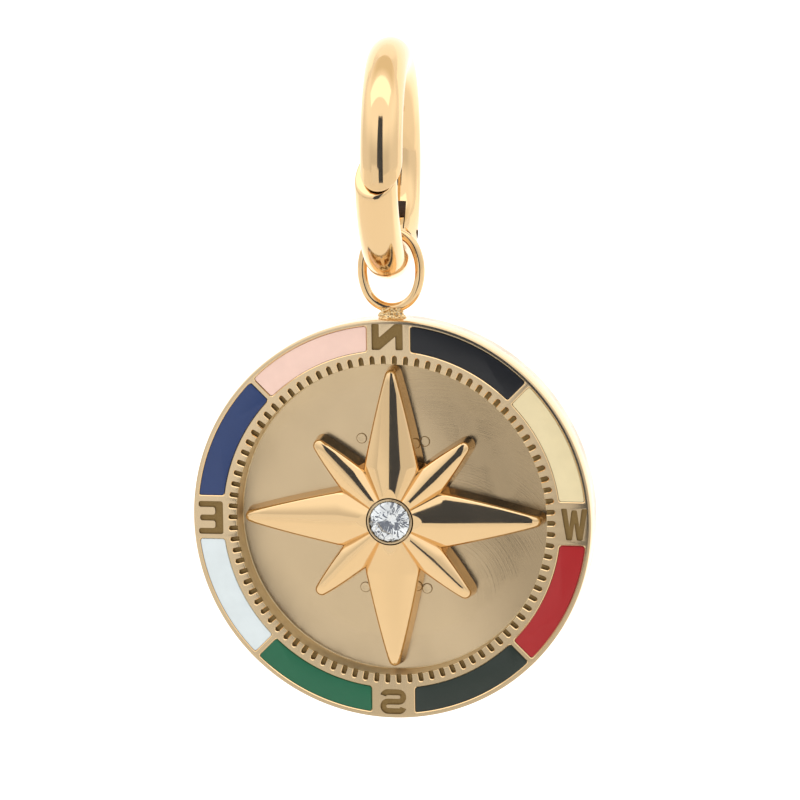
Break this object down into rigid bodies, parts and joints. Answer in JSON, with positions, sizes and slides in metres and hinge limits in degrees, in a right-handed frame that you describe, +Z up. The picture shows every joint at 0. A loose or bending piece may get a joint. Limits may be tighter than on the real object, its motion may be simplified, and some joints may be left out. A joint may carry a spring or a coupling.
{
  "type": "compass charm on a hinged hoop clasp",
  "caption": "Round compass charm with a raised pointed star, an enamelled border and a set stone, hung by an oval ring on a hinged hoop clasp.",
  "frame": {"origin": "the inner crown of the hoop clasp, where the chain or cord that carries the charm bears", "axes": "+Z up along the hanging charm, -Y the way the dial faces, +X to the right as seen from the dial's front"},
  "size_m": [0.02, 0.0118, 0.0338],
  "materials": {
    "gold": "polished, gold plated",
    "stone": "faceted, clear",
    "enamel_black": "glossy hard enamel",
    "enamel_cream": "glossy hard enamel",
    "enamel_red": "glossy hard enamel",
    "enamel_dark_green": "glossy hard enamel",
    "enamel_green": "glossy hard enamel",
    "enamel_white": "glossy hard enamel",
    "enamel_blue": "glossy hard enamel",
    "enamel_pink": "glossy hard enamel"
  },
  "bodies": {
    "bow": {"clasp_bow": "gold", "hinge_pin": "gold"},
    "gate": {"clasp_gate": "gold"},
    "charm": {"medallion": "gold", "compass_star": "gold", "stone_bezel": "gold", "center_stone": "stone", "dial_peg_1": "gold", "dial_peg_2": "gold", "dial_peg_3": "gold", "dial_peg_4": "gold", "enamel_black": "enamel_black", "enamel_cream": "enamel_cream", "enamel_red": "enamel_red", "enamel_dark_green": "enamel_dark_green", "enamel_green": "enamel_green", "enamel_white": "enamel_white", "enamel_blue": "enamel_blue", "enamel_pink": "enamel_pink"}
  },
  "joints": [
    {"name": "gate_hinge", "type": "hinge", "parent": "bow", "child": "gate", "pos_m": [-0.00024, 0.0026, -0.00809], "axis": [0.9957, 0.0924, 0], "range_deg": [0, 50]},
    {"name": "charm_swing", "type": "hinge", "parent": "gate", "child": "charm", "pos_m": [-0.00008, -0.00001, -0.00884], "axis": [-0.0558, 0.9984, 0], "range_deg": [-90, 90]}
  ]
}
